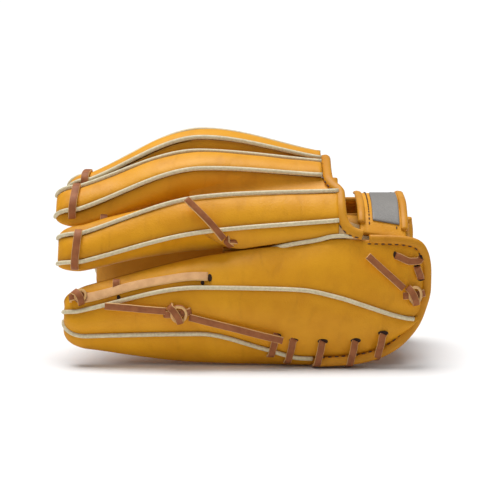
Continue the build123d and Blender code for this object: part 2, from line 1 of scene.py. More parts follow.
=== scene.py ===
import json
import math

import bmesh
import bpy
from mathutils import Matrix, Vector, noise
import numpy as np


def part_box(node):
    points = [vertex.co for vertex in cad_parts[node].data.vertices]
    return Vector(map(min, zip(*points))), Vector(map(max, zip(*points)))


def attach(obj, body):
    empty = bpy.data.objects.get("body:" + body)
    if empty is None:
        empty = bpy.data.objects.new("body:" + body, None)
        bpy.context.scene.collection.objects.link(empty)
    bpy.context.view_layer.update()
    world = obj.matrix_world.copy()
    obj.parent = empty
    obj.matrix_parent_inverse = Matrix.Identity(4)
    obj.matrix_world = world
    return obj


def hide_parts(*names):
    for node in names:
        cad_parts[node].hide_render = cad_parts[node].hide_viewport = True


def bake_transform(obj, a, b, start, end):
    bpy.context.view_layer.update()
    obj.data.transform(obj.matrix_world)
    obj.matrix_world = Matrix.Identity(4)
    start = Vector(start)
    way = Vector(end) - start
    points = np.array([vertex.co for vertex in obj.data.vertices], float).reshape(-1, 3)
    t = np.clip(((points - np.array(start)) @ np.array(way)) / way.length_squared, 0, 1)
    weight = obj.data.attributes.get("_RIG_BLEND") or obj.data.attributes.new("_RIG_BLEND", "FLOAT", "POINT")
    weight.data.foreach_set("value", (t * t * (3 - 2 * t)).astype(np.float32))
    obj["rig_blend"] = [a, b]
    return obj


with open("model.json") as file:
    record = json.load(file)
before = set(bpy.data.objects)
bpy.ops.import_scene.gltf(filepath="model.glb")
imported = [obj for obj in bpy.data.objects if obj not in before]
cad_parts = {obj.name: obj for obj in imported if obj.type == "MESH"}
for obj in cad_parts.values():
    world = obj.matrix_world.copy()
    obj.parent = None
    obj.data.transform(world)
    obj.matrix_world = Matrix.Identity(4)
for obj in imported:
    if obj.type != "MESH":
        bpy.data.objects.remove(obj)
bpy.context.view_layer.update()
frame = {"record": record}

# %% [markdown]
# # A baseball glove
# A fielder's glove is a bag of sewn leather strips. Each finger is a narrow padded back, two side
# walls and a front, and a cord of piping is sewn into every seam of the back. Thick lace ties the
# fingers together, closes the heel and holds the web. This glove stands on its little finger edge
# and its thumb edge, palm down, like a tent.
# The lesson builds it the same way: strips, then piping, then lace. Sizes are in millimetres in
# the glove's own frame, and one function turns them into metres.

record = frame["record"]
BODY = {node: body for body, nodes in record["behaviour"]["bodies"].items() for node in nodes}
SLOT = {part["node"]: part["material_slot"] for part in record["subparts"]}
MIDDLE = Vector((0.5, 9.5, 0.0))
print("nodes", len(BODY), "slots", sorted(set(SLOT.values())))


def metres(point):
    """A point of the glove's own frame, in millimetres, as a point of the row frame."""
    return (Vector(point) - MIDDLE) / 1000


def add_object(name, data):
    """A new object in the scene, at the origin."""
    obj = bpy.data.objects.new(name, data)
    bpy.context.scene.collection.objects.link(obj)
    return obj


def tip_of(node):
    """Fingertip end of a node, in millimetres."""
    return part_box(node)[0][0] * 1000 + MIDDLE.x


# %% Leather, lace and piping sizes
LEATHER = 3.0
LINING = 1.2
FELT = 4.0
SEAM = 0.3
PIPING = 3.4           # thickness of the piping once it is sewn in
LACE_WIDTH = 5.5
LACE_THICK = 2.2
LACE_CORNER = 0.35     # how round the section of a lace is, from 0 for a sharp edge to 1 for an oval
CROWN = 3.6            # how far the padding lifts a finger back between its seams
BULGE = 2.6            # the same for a side wall
FULL_FROM, FULL_TO = -45.0, -105.0   # facing walls swell until they touch between these, along X
NOSE = 18.0            # length of a fingertip's rounding
BLUNT = 0.88           # share of a finger's width that is left at its very tip
MEET = 10.0            # depth under a finger back where its front meets it at the tip
PALM_START, PALM_END = -15.0, 128.0
KNUCKLE = 18.3         # where the fingers open into the hand
PINKY_HINGE, THUMB_HINGE, STRAP_HINGE = (-42.0, 86.0), (58.0, 100.0), (68.0, 117.0)

# %% [markdown]
# ## Smooth numbers along the glove
# A finger's place, roll and width change slowly from the tip to the wrist. A few rows of numbers
# hold them, and a Hermite curve runs through the rows. Its slopes are limited, so that a width
# never swings past the rows it lies between. A Bezier curve object would do the same for a line
# in space, but not for a row of seven numbers.

# %% Numbers between rows
def slope(before, here, after, j):
    first = (here[1][j] - before[1][j]) / max(here[0] - before[0], 1e-9)
    second = (after[1][j] - here[1][j]) / max(after[0] - here[0], 1e-9)
    if before is here or after is here:
        return first + second
    if first * second <= 0:
        return 0.0
    return math.copysign(min(abs(first + second) / 2, 2 * min(abs(first), abs(second))), first)


def along(x, rows):
    """Numbers at x on the smooth curve through rows of (x, numbers)."""
    if x <= rows[0][0]:
        return tuple(rows[0][1])
    if x >= rows[-1][0]:
        return tuple(rows[-1][1])
    i = max(k for k in range(len(rows) - 1) if rows[k][0] <= x)
    lo, hi = rows[i], rows[i + 1]
    before, after = rows[max(i - 1, 0)], rows[min(i + 2, len(rows) - 1)]
    span = hi[0] - lo[0]
    t = (x - lo[0]) / span
    return tuple(
        (2 * t**3 - 3 * t**2 + 1) * lo[1][j]
        + (t**3 - 2 * t**2 + t) * slope(before, lo, hi, j) * span
        + (3 * t**2 - 2 * t**3) * hi[1][j]
        + (t**3 - t**2) * slope(lo, hi, after, j) * span
        for j in range(len(lo[1]))
    )


def curve(points, v):
    """Point at the share v of a smooth line through points."""
    return Vector(along(v, [(i / (len(points) - 1), p) for i, p in enumerate(points)]))


def smooth(points, count):
    """Points spread over a smooth line through a few given ones."""
    return [curve(points, k / (count - 1)) for k in range(count)]


def spread(start, end, count):
    return [start + (end - start) * k / (count - 1) for k in range(count)]


def nose_of(x, tip):
    """0 at a fingertip and 1 where its rounding ends, on a quarter circle."""
    into = min(max((x - tip) / NOSE, 0.0), 1.0)
    return math.sqrt(1 - (1 - into) ** 2)


def run_from(tip, end, u, share=0.2):
    """x at the share u of a finger, with closer steps round its tip."""
    if u < share:
        return tip + NOSE * (1 - math.cos(u / share * math.pi / 2))
    return tip + NOSE + (end - tip - NOSE) * (u - share) / (1 - share)


# %% [markdown]
# ## Materials
# A material is a small sum of textures. Written out node by node it is hard to read, so one class
# wraps a socket and gives it + - *, and another keeps the material and adds every other node.
# Textures read Object coordinates, so grain keeps its real size on every piece.

# %% A socket that can be added and multiplied
class Term:
    """A value in a material; each operator adds the Math node that works it out."""

    def __init__(self, paint, socket):
        self.paint = paint
        self.socket = socket

    def maths(self, operation, first, second=0.0):
        return self.paint.add("ShaderNodeMath", {"operation": operation}, {0: first, 1: second})

    def __add__(self, other):
        return self.maths("ADD", self, other)

    def __sub__(self, other):
        return self.maths("SUBTRACT", self, other)

    def __rsub__(self, other):
        return self.maths("SUBTRACT", other, self)

    def __mul__(self, other):
        return self.maths("MULTIPLY", self, other)

    def __abs__(self):
        return self.maths("ABSOLUTE", self)

    def above(self, edge, soft):
        """0 under the edge and 1 over it, with a soft step between."""
        return self.paint.add(
            "ShaderNodeMapRange", {"interpolation_type": "SMOOTHSTEP"},
            {"Value": self, "From Min": edge - soft, "From Max": edge + soft},
        )

    __radd__ = __add__
    __rmul__ = __mul__


class Paint:
    """A material with one Principled shader."""

    def __init__(self, name, **constants):
        """Constants name the shader's sockets in lower case, with _ for a space."""
        self.material = bpy.data.materials.new(name)
        self.material.use_nodes = True
        self.tree = self.material.node_tree
        self.shader = self.tree.nodes["Principled BSDF"]
        self.place = self.add("ShaderNodeTexCoord", {}, {}, "Object")
        for socket, value in constants.items():
            self.set(socket.replace("_", " ").title().replace("Ior", "IOR"), value)

    def add(self, kind, settings, sockets, out=0):
        node = self.tree.nodes.new(kind)
        for setting, value in settings.items():
            setattr(node, setting, value)
        for socket, value in sockets.items():
            self.feed(node.inputs[socket], value)
        return Term(self, node.outputs[out])

    def feed(self, socket, value):
        if isinstance(value, Term):
            self.tree.links.new(value.socket, socket)
        else:
            socket.default_value = value

    def set(self, socket, value):
        self.feed(self.shader.inputs[socket], value)

    def mix(self, share, first, second):
        return self.add("ShaderNodeMix", {"data_type": "RGBA"}, {0: share, 6: first, 7: second}, 2)

    def noise(self, scale, detail=2.0, stretch=None):
        where = self.place
        if stretch:
            where = self.add("ShaderNodeMapping", {}, {"Vector": where, "Scale": stretch})
        return self.add("ShaderNodeTexNoise", {}, {"Vector": where, "Scale": scale, "Detail": detail})

    def cells(self, scale):
        return self.add("ShaderNodeTexVoronoi", {}, {"Vector": self.place, "Scale": scale})

    def attribute(self, name):
        return self.add("ShaderNodeAttribute", {"attribute_name": name}, {}, "Fac")

    def bump(self, height, strength, depth):
        normal = self.add(
            "ShaderNodeBump", {}, {"Height": height, "Strength": strength, "Distance": depth}, "Normal"
        )
        self.set("Normal", normal)


# %% [markdown]
# ## Glove leather
# Steer hide tanned golden yellow has a pebbled grain about a millimetre wide and soft creases where
# the glove bends. Painted shade darkens the crease lines and the leather beside every seam. Each sheet
# carries a `pinch` attribute, 1 at its seams and 0 a few millimetres in; the painted seam shade and the
# puckers follow it.

# %% Leather
def leather(name, light, deep, shade, rough, pebble=1.0):
    paint = Paint(name, ior=1.40, coat_roughness=0.4, specular_ior_level=0.3)
    broad = paint.noise(16.0, 3.0).above(0.5, 0.22)
    mottle = paint.noise(70.0, 4.0).above(0.52, 0.2)
    fine = paint.noise(420.0, 3.0)
    pebbles = paint.cells(850.0)
    crease = 1.0 - abs(paint.noise(30.0, 2.0, (1.5, 0.55, 0.55)) - 0.5).above(0.03, 0.03)
    pinch = paint.attribute("pinch")
    tone = paint.mix(broad * 0.5 + mottle * 0.25, light, deep)
    # Painted shade: crease lines and the leather beside each seam are mixed toward the shade colour.
    tone = paint.mix(crease * mottle * 0.10 + pinch * pinch * 0.45, tone, shade)
    tone = paint.mix((1.0 - pebbles.above(0.12, 0.12)) * 0.10, tone, shade)
    paint.set("Base Color", tone)
    paint.set("Roughness", rough + fine * 0.12 + mottle * 0.06 + pinch * 0.1)
    paint.set("Coat Weight", 0.05 - pinch * 0.04)
    puckers = paint.noise(150.0, 2.0) * pinch * 1.4
    height = pebbles * (0.3 * pebble) + fine * 0.25 - crease * mottle * 0.5 + puckers + mottle * 0.3
    paint.bump(height, 0.38, 0.0010)
    return paint.material


FINISH = {
    "shell_leather": leather(
        "golden_leather", (0.80, 0.365, 0.010, 1), (0.62, 0.245, 0.005, 1), (0.22, 0.065, 0.003, 1), 0.40
    ),
    "palm_leather": leather(
        "palm_leather", (0.64, 0.28, 0.016, 1), (0.50, 0.19, 0.007, 1), (0.20, 0.06, 0.003, 1), 0.46
    ),
    "binding_leather": leather(
        "binding_leather", (0.66, 0.29, 0.014, 1), (0.52, 0.20, 0.007, 1), (0.22, 0.065, 0.003, 1), 0.42, 0.6
    ),
}
print("leathers", list(FINISH))

# %% [markdown]
# ## Lace, piping, felt and linings
# Lace is a cut strip: reddish brown grain on one face, lighter suede on the other and pale raw
# edges. A `grain` attribute runs from 1 on the grain face to -1 on the suede face, so one material
# paints all three. Piping is thin cream leather, felt is fibres, and the linings are plain.

# %% Lace
def lace_finish():
    paint = Paint("rawhide_lace", ior=1.45, specular_ior_level=0.3)
    face = paint.attribute("grain")
    streaks = paint.noise(160.0, 4.0).above(0.5, 0.25)
    fuzz = paint.noise(1400.0, 2.0)
    grain = paint.mix(streaks * 0.7, (0.37, 0.128, 0.042, 1), (0.22, 0.066, 0.022, 1))
    suede = paint.mix(streaks * 0.5 + fuzz * 0.2, (0.80, 0.47, 0.22, 1), (0.55, 0.28, 0.12, 1))
    edge = 1.0 - abs(face).above(0.66, 0.10)
    tone = paint.mix(face.above(0.0, 0.05), suede, grain)
    paint.set("Base Color", paint.mix(edge * 0.75, tone, (0.76, 0.48, 0.19, 1)))
    paint.set("Roughness", 0.80 - face.above(0.0, 0.05) * 0.28 + fuzz * 0.08)
    paint.bump(fuzz * 0.6 + streaks * 0.6, 0.35, 0.0006)
    return paint.material


def fibrous(name, light, dark, scale, rough, depth=0.0005, **constants):
    """Matt finish whose small fibres or pores are one noise."""
    paint = Paint(name, **constants)
    fibres = paint.noise(scale, 4.0)
    broad = paint.noise(40.0, 2.0).above(0.5, 0.3)
    paint.set("Base Color", paint.mix(fibres.above(0.5, 0.2) * 0.6 + broad * 0.3, light, dark))
    paint.set("Roughness", rough + fibres * 0.12)
    paint.bump(fibres, 0.4, depth)
    return paint.material


FINISH["lace"] = lace_finish()
for slot, name, light, dark, scale, rough in (
    ("piping", "cream_piping", (0.74, 0.65, 0.43, 1), (0.55, 0.46, 0.28, 1), 500.0, 0.5),
    ("felt", "wool_felt", (0.70, 0.66, 0.58, 1), (0.48, 0.44, 0.36, 1), 900.0, 0.9),
    ("palm_lining", "palm_lining", (0.62, 0.40, 0.17, 1), (0.46, 0.26, 0.09, 1), 700.0, 0.7),
    ("black_lining", "black_lining", (0.022, 0.021, 0.022, 1), (0.010, 0.010, 0.011, 1), 900.0, 0.7),
    ("patch", "patch_leather", (0.24, 0.225, 0.205, 1), (0.17, 0.16, 0.15, 1), 800.0, 0.5),
):
    FINISH[slot] = fibrous(name, light, dark, scale, rough)
THREAD = fibrous("brown_thread", (0.115, 0.045, 0.018, 1), (0.05, 0.018, 0.008, 1), 1500.0, 0.6)
HOLE_SHADOW = fibrous("hole_shadow", (0.035, 0.013, 0.006, 1), (0.02, 0.008, 0.004, 1), 800.0, 0.9)

# %% [markdown]
# ## Sheets
# A panel of leather starts as a flat grid. Every point of the grid has a share u along the glove
# and v across the panel, and is moved to where a function puts that share. A little noise along
# the normal gives the uneven swell of padding. Solidify then gives the real thickness and
# Subdivision Surface rolls the edges. Sculpting would also work, but no panel would fit the next.

# %% From a grid to a sewn panel
# PINCH_REACH is also how far the painted seam shade reaches.
PINCH_REACH = 7.0      # how far from a seam the leather is drawn in
LUMP_SCALE = 0.035     # one lump is about 30 mm long


def new_mesh():
    bm = bmesh.new()
    for layer in ("pinch", "grain"):
        bm.verts.layers.float.new(layer)
    return bm


def lay(bm, spot, cells, outward, lumps=0.5):
    """Adds a sheet that follows spot(u, v), with its face turned outward."""
    made = bmesh.ops.create_grid(bm, x_segments=cells[0], y_segments=cells[1], size=0.5)["verts"]
    pinch = bm.verts.layers.float["pinch"]
    inner = {}
    for vert in made:
        u, v = vert.co.x + 0.5, vert.co.y + 0.5
        width = (Vector(spot(u, 0.0)) - Vector(spot(u, 1.0))).length
        vert[pinch] = max(0.0, 1 - min(v, 1 - v) * width / PINCH_REACH)
        inner[vert] = math.sin(math.pi * min(max(v, 0.0), 1.0)) ** 0.5
        vert.co = metres(spot(u, v))
    faces = list({face for vert in made for face in vert.link_faces})
    bm.normal_update()
    if sum(face.normal.dot(Vector(outward)) * face.calc_area() for face in faces) < 0:
        bmesh.ops.reverse_faces(bm, faces=faces)
        bm.normal_update()
    moves = {
        vert: vert.normal * noise.noise(vert.co * 1000 * LUMP_SCALE) * lumps / 1000 * inner[vert]
        for vert in made
    }
    for vert, move in moves.items():
        vert.co += move


def piece(bm, node, word, finish=None, thick=0.0, soft=1, body=None, rides=True):
    """Makes a finished object that stands for its CAD node, if it has one, and rides on its body."""
    name = f"{node}_{word}"
    mesh = bpy.data.meshes.new(name)
    bm.to_mesh(mesh)
    bm.free()
    obj = add_object(name, mesh)
    mesh.materials.append(finish or FINISH[SLOT[node]])
    mesh.shade_smooth()
    if thick:
        wall = obj.modifiers.new("thickness", "SOLIDIFY")
        wall.thickness = thick / 1000
        wall.offset = -1
    if soft:
        rounding = obj.modifiers.new("rolled edges", "SUBSURF")
        rounding.levels = rounding.render_levels = soft
    if node in BODY and not finish:
        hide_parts(node)
    if rides:
        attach(obj, body or BODY[node])
    return obj


def panel(node, spots, cells, outwards, thick=LEATHER, lumps=0.5, **how):
    """One node's sheets in one piece."""
    bm = new_mesh()
    for spot, outward in zip(spots, outwards):
        lay(bm, spot, cells, outward, lumps)
    return piece(bm, node, "panel", thick=thick, **how)


# %% [markdown]
# ## Piping, rolls and lace
# All of these are a small section that follows a line: round for piping, oval for a rolled edge
# and nearly square for lace. A grid becomes the band: its rows follow the line, its columns go
# round the section, and merging the doubles closes the seam and both ends. A bevelled curve would
# be quicker, but it can't say which face of the lace is grain and which is suede.

# %% A band along a line
def sweep(bm, points, faces, width, thick, corner=1.0, ring=12):
    """Closed band along points. Corner 1 gives an oval section and 0.3 the flat one of lace."""
    rows = [points[0]] + list(points) + [points[-1]]
    looks = [faces[0]] + list(faces) + [faces[-1]]
    last = len(rows) - 1
    made = bmesh.ops.create_grid(bm, x_segments=last, y_segments=ring, size=0.5)["verts"]
    grain = bm.verts.layers.float["grain"]
    for vert in made:
        i, j = round((vert.co.x + 0.5) * last), round((vert.co.y + 0.5) * ring)
        run = (rows[min(i + 1, last - 1)] - rows[max(i - 1, 1)]).normalized()
        side = run.cross(Vector(looks[i])).normalized()
        up = side.cross(run).normalized()
        turn = 2 * math.pi * j / ring
        out, lift = (math.copysign(abs(s) ** corner, s) for s in (math.cos(turn), math.sin(turn)))
        closed = 0.0 if i in (0, last) else 0.5
        vert[grain] = math.sin(turn)
        vert.co = metres(rows[i] + side * out * width * closed + up * lift * thick * closed)
    faces_made = {face for vert in made for face in vert.link_faces}
    bmesh.ops.remove_doubles(bm, verts=made, dist=1e-6)
    bmesh.ops.recalc_face_normals(bm, faces=[face for face in faces_made if face.is_valid])


def stitches(bm, points, pitch=4.6, long=3.2, fat=0.55):
    """Row of sewn stitches, each a small pod along the line."""
    reach = 0.0
    for a, b in zip(points, points[1:]):
        run = b - a
        while reach <= run.length:
            turn = run.to_track_quat("X", "Z")
            size = Vector((long / 2, fat, fat))
            at = Matrix.LocRotScale(metres(a + run.normalized() * reach), turn, size)
            bmesh.ops.create_uvsphere(bm, u_segments=6, v_segments=4, radius=0.001, matrix=at)
            reach += pitch
        reach -= run.length


# %% [markdown]
# ## The three stalls on the back of the hand
# Index, middle and ring finger lie side by side and roll away over the crest. A stall is given by
# the middle line of its back, the roll, the width of its back and how far its walls stand apart
# at the front. At the tip the back curls down and the front curls up until they meet.

# %% Finger stall
class Stall:
    def __init__(self, name, end, swells, rows):
        self.swells = swells
        self.name = name
        self.tip = tip_of(f"{name}_back")
        self.end = end
        self.rows = rows

    def at(self, x, across, deep):
        y, z, roll = along(x, self.rows)[:3]
        roll = math.radians(roll)
        return Vector((
            x,
            y + math.sin(roll) * across + math.cos(roll) * deep,
            z + math.cos(roll) * across - math.sin(roll) * deep,
        ))

    def out(self, x):
        """Direction away from the back."""
        roll = math.radians(along(x, self.rows)[2])
        return Vector((0, -math.cos(roll), math.sin(roll)))

    def half(self, x):
        return along(x, self.rows)[3] / 2 * (BLUNT + (1 - BLUNT) * nose_of(x, self.tip))

    def drop(self, x):
        return MEET * (1 - nose_of(x, self.tip))

    def front_edge(self, x, side):
        """Place of a wall's foot, across and deep."""
        depth, low, high = along(x, self.rows)[4:]
        nose = nose_of(x, self.tip)
        reach = (low if side < 0 else high) * (BLUNT + (1 - BLUNT) * nose)
        return side * reach, MEET + (depth - MEET) * nose

    def puff(self, x, v):
        full = 0.25 + 0.75 * nose_of(x, self.tip)
        return CROWN * full * (1 - (2 * v - 1) ** 2) ** 0.75

    def back(self, u, v):
        x = run_from(self.tip, self.end, u)
        return self.at(x, (2 * v - 1) * self.half(x), self.drop(x) - self.puff(x, v))

    def wall(self, side):
        def spot(u, v):
            x = run_from(self.tip, KNUCKLE, u)
            foot, deep = self.front_edge(x, side)
            start = side * (self.half(x) + 0.6)
            full = min(max((x - FULL_FROM) / (FULL_TO - FULL_FROM), 0.0), 1.0)
            swell = BULGE + (self.swells[side] - BULGE) * full
            swell *= side * math.sin(math.pi * v) * nose_of(x, self.tip)
            begin = self.drop(x) + 1.6 * nose_of(x, self.tip)
            return self.at(x, start + (foot - start) * v + swell, begin + (deep - begin) * v)
        return spot

    def front(self, u, v):
        x = run_from(self.tip, PALM_START, u)
        (high, deep), (low, _) = self.front_edge(x, 1), self.front_edge(x, -1)
        return self.at(x, high + (low - high) * v, deep)

    def welt(self, side):
        xs = [run_from(self.tip, self.end, u) for u in spread(0, 1, 60)]
        lift = PIPING * 0.22
        return [self.at(x, side * (self.half(x) + PIPING * 0.34), self.drop(x) - lift) for x in xs]


index = Stall("index", 62, {-1: 5.0, 1: 3.0}, [
    (-119, (17, 137, 85, 18, 14, 8.5, 12)),
    (-32, (34.5, 169.8, 84, 28, 30, 15.5, 25)),
    (60, (35, 152.5, 88, 26, 26, 14.5, 24)),
])
middle = Stall("middle", 62, {-1: 9.5, 1: 4.5}, [
    (-127, (-8.6, 123.8, 52, 23, 17, 12, 10.5)),
    (-32, (-3, 153, 69, 27.7, 30, 17.5, 15.5)),
    (60, (-2, 146.3, 73.5, 25, 28, 14, 14.5)),
])
ring = Stall("ring", 74, {-1: 4.5, 1: 9.5}, [
    (-124, (-40, 89.4, 24, 20.5, 16, 12, 13)),
    (-32, (-45, 115.5, 31, 27.3, 30, 17, 17.5)),
    (74, (-41, 122, 43.6, 26, 26, 16, 14)),
])
STALLS = (index, middle, ring)
print("fingertips at", [round(stall.tip, 1) for stall in STALLS])

# %% Finger backs, walls, fronts and piping
MID = -60.0            # a place along the fingers where directions are read


def across_dir(stall, side):
    return stall.at(MID, side, 0) - stall.at(MID, 0, 0)


for stall in STALLS:
    out = stall.out(MID)
    panel(f"{stall.name}_back", [stall.back], (64, 10), [out], lumps=1.3)
    walls = [stall.wall(side) for side in (-1, 1)]
    panel(f"{stall.name}_sides", walls, (44, 8), [across_dir(stall, side) for side in (-1, 1)], lumps=0.8)
    panel(f"{stall.name}_front", [stall.front], (40, 8), [-out], lumps=0.8)
    bm = new_mesh()
    for side in (-1, 1):
        line = stall.welt(side)
        sweep(bm, line, [stall.out(p.x) for p in line], PIPING, PIPING, ring=10)
    piece(bm, f"{stall.name}_welts", "piping", soft=0)

# %% [markdown]
# ## Skin between the finger backs
# Behind the knuckles the walls end, and soft leather bridges the valley between two backs. The
# valley is deep at the knuckles and fades out before the hand opening. A quadratic curve across
# it is enough: one low point between the two seams. The skirt under the ring finger starts as a
# narrow strip at the seam, so that it grows out of the finger's wall with no step.

# %% Valleys, the fold over the little finger and the thumb side of the back
VALLEY_START, SKIRT_START = -42.0, -28.0


def valley(low, high, depths):
    def spot(u, v):
        x = VALLEY_START + (low.end - VALLEY_START) * u
        (deep,) = along(x, depths)
        a = low.at(x, low.half(x) + 0.6, 1.2)
        b = high.at(x, -high.half(x) - 0.6, 1.2)
        g = (low.at(x, low.half(x), 2 * deep) + high.at(x, -high.half(x), 2 * deep)) / 2
        return a * (1 - v) ** 2 + g * 2 * v * (1 - v) + b * v**2
    return spot


SKIRT_FOOT = [(-28, (-46.0, 84.5, -2.0)), (18, (-51.5, 92.5, 1.5)), (74, (-51.5, 99, 2.0))]
SKIRT_TAPER = 0.30     # share of its length in which the skirt reaches full depth


def ring_skirt(u, v):
    x = SKIRT_START + (ring.end - SKIRT_START) * u
    top = ring.at(x, -ring.half(x) - 0.6, 1.2)
    y, z, full = along(x, SKIRT_FOOT)
    depth = 0.10 + 0.90 * math.sin(math.pi / 2 * min(u / SKIRT_TAPER, 1.0))
    foot = top.lerp(Vector((x, y, z)), depth)
    swell = Vector((0, -1, 0.6)) * full * math.sin(math.pi * v) * depth
    return foot + (top - foot) * v + swell


def thumb_shoulder(u, v):
    x = KNUCKLE + (index.end - KNUCKLE) * u
    top = index.at(x, index.half(x) + 0.6, 1.2)
    return curve([top, (x, 71, 138), (x, 76, 124), (x, THUMB_HINGE[0] + 17, THUMB_HINGE[1] + 13)], v)


for node, low, high, depths in (
    ("middle_ring_gusset", ring, middle, [(-42, (17,)), (18, (8,)), (62, (2,))]),
    ("index_middle_gusset", middle, index, [(-42, (9,)), (18, (5.5,)), (62, (2,))]),
):
    panel(node, [valley(low, high, depths)], (40, 10), [middle.out(40)])
panel("ring_gusset", [ring_skirt], (40, 10), [(0, -1, 0.6)])
panel("thumb_side_back", [thumb_shoulder], (20, 12), [(0, 1, 0.5)], lumps=1.2)

# %% [markdown]
# ## The two side flaps
# Little finger and thumb are each a padded flap that folds along the palm. The outside is three
# panels with piping in both corners, and the inside is one sheet that carries on into the palm.
# At the tip the outline shrinks on to a short line, which closes the flap like a cushion's end.

# %% Side flap
class Flap:
    def __init__(self, name, end, outer, inner, tip_line, bulges):
        self.name = name
        self.tip = tip_of(f"{name}_back")
        self.end = end
        self.outer_rows = outer
        self.inner_rows = inner
        self.tip_line = [Vector((0, *point)) for point in tip_line]
        self.bulges = bulges

    def closed(self, x, rows, back_to_front):
        """Outline at x, shrunk on to the tip line near the tip."""
        numbers = along(max(x, self.tip + NOSE / 2), rows)
        nose = nose_of(x, self.tip)
        start, stop = self.tip_line[::-1] if back_to_front else self.tip_line
        points = [Vector((0, *numbers[k:k + 2])) for k in range(0, len(numbers), 2)]
        outline = []
        for k, point in enumerate(points):
            end = start.lerp(stop, k / (len(points) - 1))
            outline.append(end.lerp(point, nose) + Vector((x, 0, 0)))
        return outline

    def outer(self, x):
        return self.closed(x, self.outer_rows, False)

    def inner(self, x):
        return self.closed(x, self.inner_rows, True)

    def away(self, x, i):
        """Outward direction of panel i."""
        path = self.outer(x)
        run = path[i + 1] - path[i]
        side = Vector((0, run.z, -run.y)).normalized()
        middle_line = sum(path + self.inner(x), Vector()) / 7
        return side if side.dot((path[i] + path[i + 1]) / 2 - middle_line) > 0 else -side

    def on(self, x, i, v, lift=0.0):
        """Point of panel i at the share v across it."""
        path = self.outer(x)
        swell = self.bulges[i] * math.sin(math.pi * v) * nose_of(x, self.tip)
        return path[i].lerp(path[i + 1], v) + self.away(x, i) * (swell + lift)

    def reach(self, x, i, distance, lift=0.0):
        """Point of panel i at a distance in millimetres from its first corner."""
        path = self.outer(x)
        return self.on(x, i, distance / (path[i + 1] - path[i]).length, lift)

    def side(self, i, end=None):
        return lambda u, v: self.on(run_from(self.tip, end or self.end, u), i, v)

    def lining(self, start, end):
        def spot(u, v):
            x = run_from(self.tip, end, u) if start is None else start + (end - start) * u
            return curve(self.inner(x), v)
        return spot

    def welt(self, i, end):
        line = []
        for u in spread(0, 1, 64):
            x = run_from(self.tip, end, u)
            out = (self.away(x, i - 1) + self.away(x, i)).normalized()
            line.append(self.outer(x)[i] + out * PIPING * 0.3)
        return line


pinky = Flap("pinky", 139, [
    (-127, (-49, 13, -57, 24, -58, 42.7, -49, 60)),
    (-32, (-50, 1.5, -64, 27, -66.5, 62.5, -47, 84)),
    (18, (-51.5, 0.6, -62.6, 15, -67.6, 62, -50.5, 92)),
    (45, (-52, 0.5, -62, 8, -68, 61, -52, 94)),
    (74, (-52, 2.8, -62, 7.4, -67.4, 55, -52, 99)),
    (95, (-52, 6.5, -61, 10, -66, 48, -52, 98)),
    (120, (-50, 18, -56, 21, -61, 39.5, -51, 96)),
    (131, (-48.5, 29, -53.5, 31.5, -57.5, 37.5, -50.5, 95)),
    (139, (-46, 40, -49, 42.5, -51.5, 45, -50, 93)),
], [
    (-127, (-40.5, 59, -38, 38, -43, 13.5)),
    (-32, (-40.5, 84, -36, 45, -43.8, 3)),
    (-15, (-40.5, 86, -34, 48, -44.8, 2.5)),
    (45, (-40.5, 86, -32, 48, -45.6, 2)),
    (95, (-40.5, 86, -33, 50, -45.6, 7.5)),
    (128, (-40.5, 86, -35, 60, -42, 26)),
], [(-47, 26), (-47, 48)], (1.5, 4.0, 2.8))
thumb = Flap("thumb", 130, [
    (-108, (63, 96, 75, 86, 79, 42, 72, 30)),
    (-60, (63, 103, 83, 91, 87, 37, 79, 8)),
    (-10, (63, 103, 84.5, 92, 88, 34, 80, 0.5)),
    (60, (63, 103, 85, 92, 87, 30, 80, 0.5)),
    (100, (63, 103, 82, 93, 84, 34, 76, 7)),
    (130, (63, 103, 76, 94, 77, 45, 69, 27)),
], [
    (-108, (64, 31, 57, 58, 56.5, 93)),
    (-60, (73, 9, 56, 50, 56.5, 98)),
    (-15, (73.3, 1.5, 56, 50, 56.5, 100)),
    (60, (73.3, 0.8, 56, 50, 56.5, 100)),
    (100, (69.5, 8, 55.5, 54, 56.5, 100)),
    (128, (62.4, 27.5, 55, 62, 56.5, 100)),
], [(66, 81), (66, 49)], (2.0, 4.0, 1.5))

# %% Flap panels and piping
LOWER_END = 96.0       # behind this the lower panel has tapered into the heel roll
PARTS = ("lower_side", "back", "upper_side")
for flap, parts in ((pinky, PARTS), (thumb, PARTS[::-1])):
    for i, part in enumerate(parts):
        end = LOWER_END if part == "lower_side" and flap is pinky else flap.end
        if (flap, part) == (pinky, "upper_side"):
            continue
        panel(f"{flap.name}_{part}", [flap.side(i, end)], (64, 12), [flap.away(0, i)], lumps=1.6)
    bm = new_mesh()
    for i, end in ((1, 54.0), (2, 131.0)) if flap is pinky else ((1, flap.end), (2, flap.end)):
        line = flap.welt(i, end)
        sweep(bm, line, [flap.away(p.x, i) for p in line], PIPING, PIPING, ring=10)
    piece(bm, f"{flap.name}_welts", "piping", soft=0)

# %% [markdown]
# ## Leather that crosses a fold
# The flaps swing on the palm, so leather that joins a flap to the back of the hand has to bend.
# The little finger's upper panel follows the hand at its top seam, and a loose fold of leather
# joins the thumb to its shoulder.

# %% Upper panel of the little finger, and the fold over the thumb
upper = panel("pinky_upper_side", [pinky.side(2)], (72, 14), [pinky.away(0, 2)], lumps=1.6, rides=False)
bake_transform(upper, "pinky_flap", "hand", start=metres((0, -60, 86)), end=metres((0, -60, 96)))


THUMB_FOLD_END = 124.0


def thumb_fold(u, v):
    x = KNUCKLE + (THUMB_FOLD_END - KNUCKLE) * u
    foot = thumb.on(x, 0, 0.55, -1.0)
    return curve([(x, 75.5, 114), (x, 82.5, 107), foot], v)


bm = new_mesh()
lay(bm, thumb_fold, (30, 8), (0, 1, 0.5), 0.6)
fold = piece(bm, "thumb_fold", "panel", finish=FINISH["shell_leather"], thick=2.0, rides=False)
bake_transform(fold, "hand", "thumb_flap", start=metres((0, 75, 113)), end=metres((0, 77, 98)))
print("blended", upper.name, fold.name)

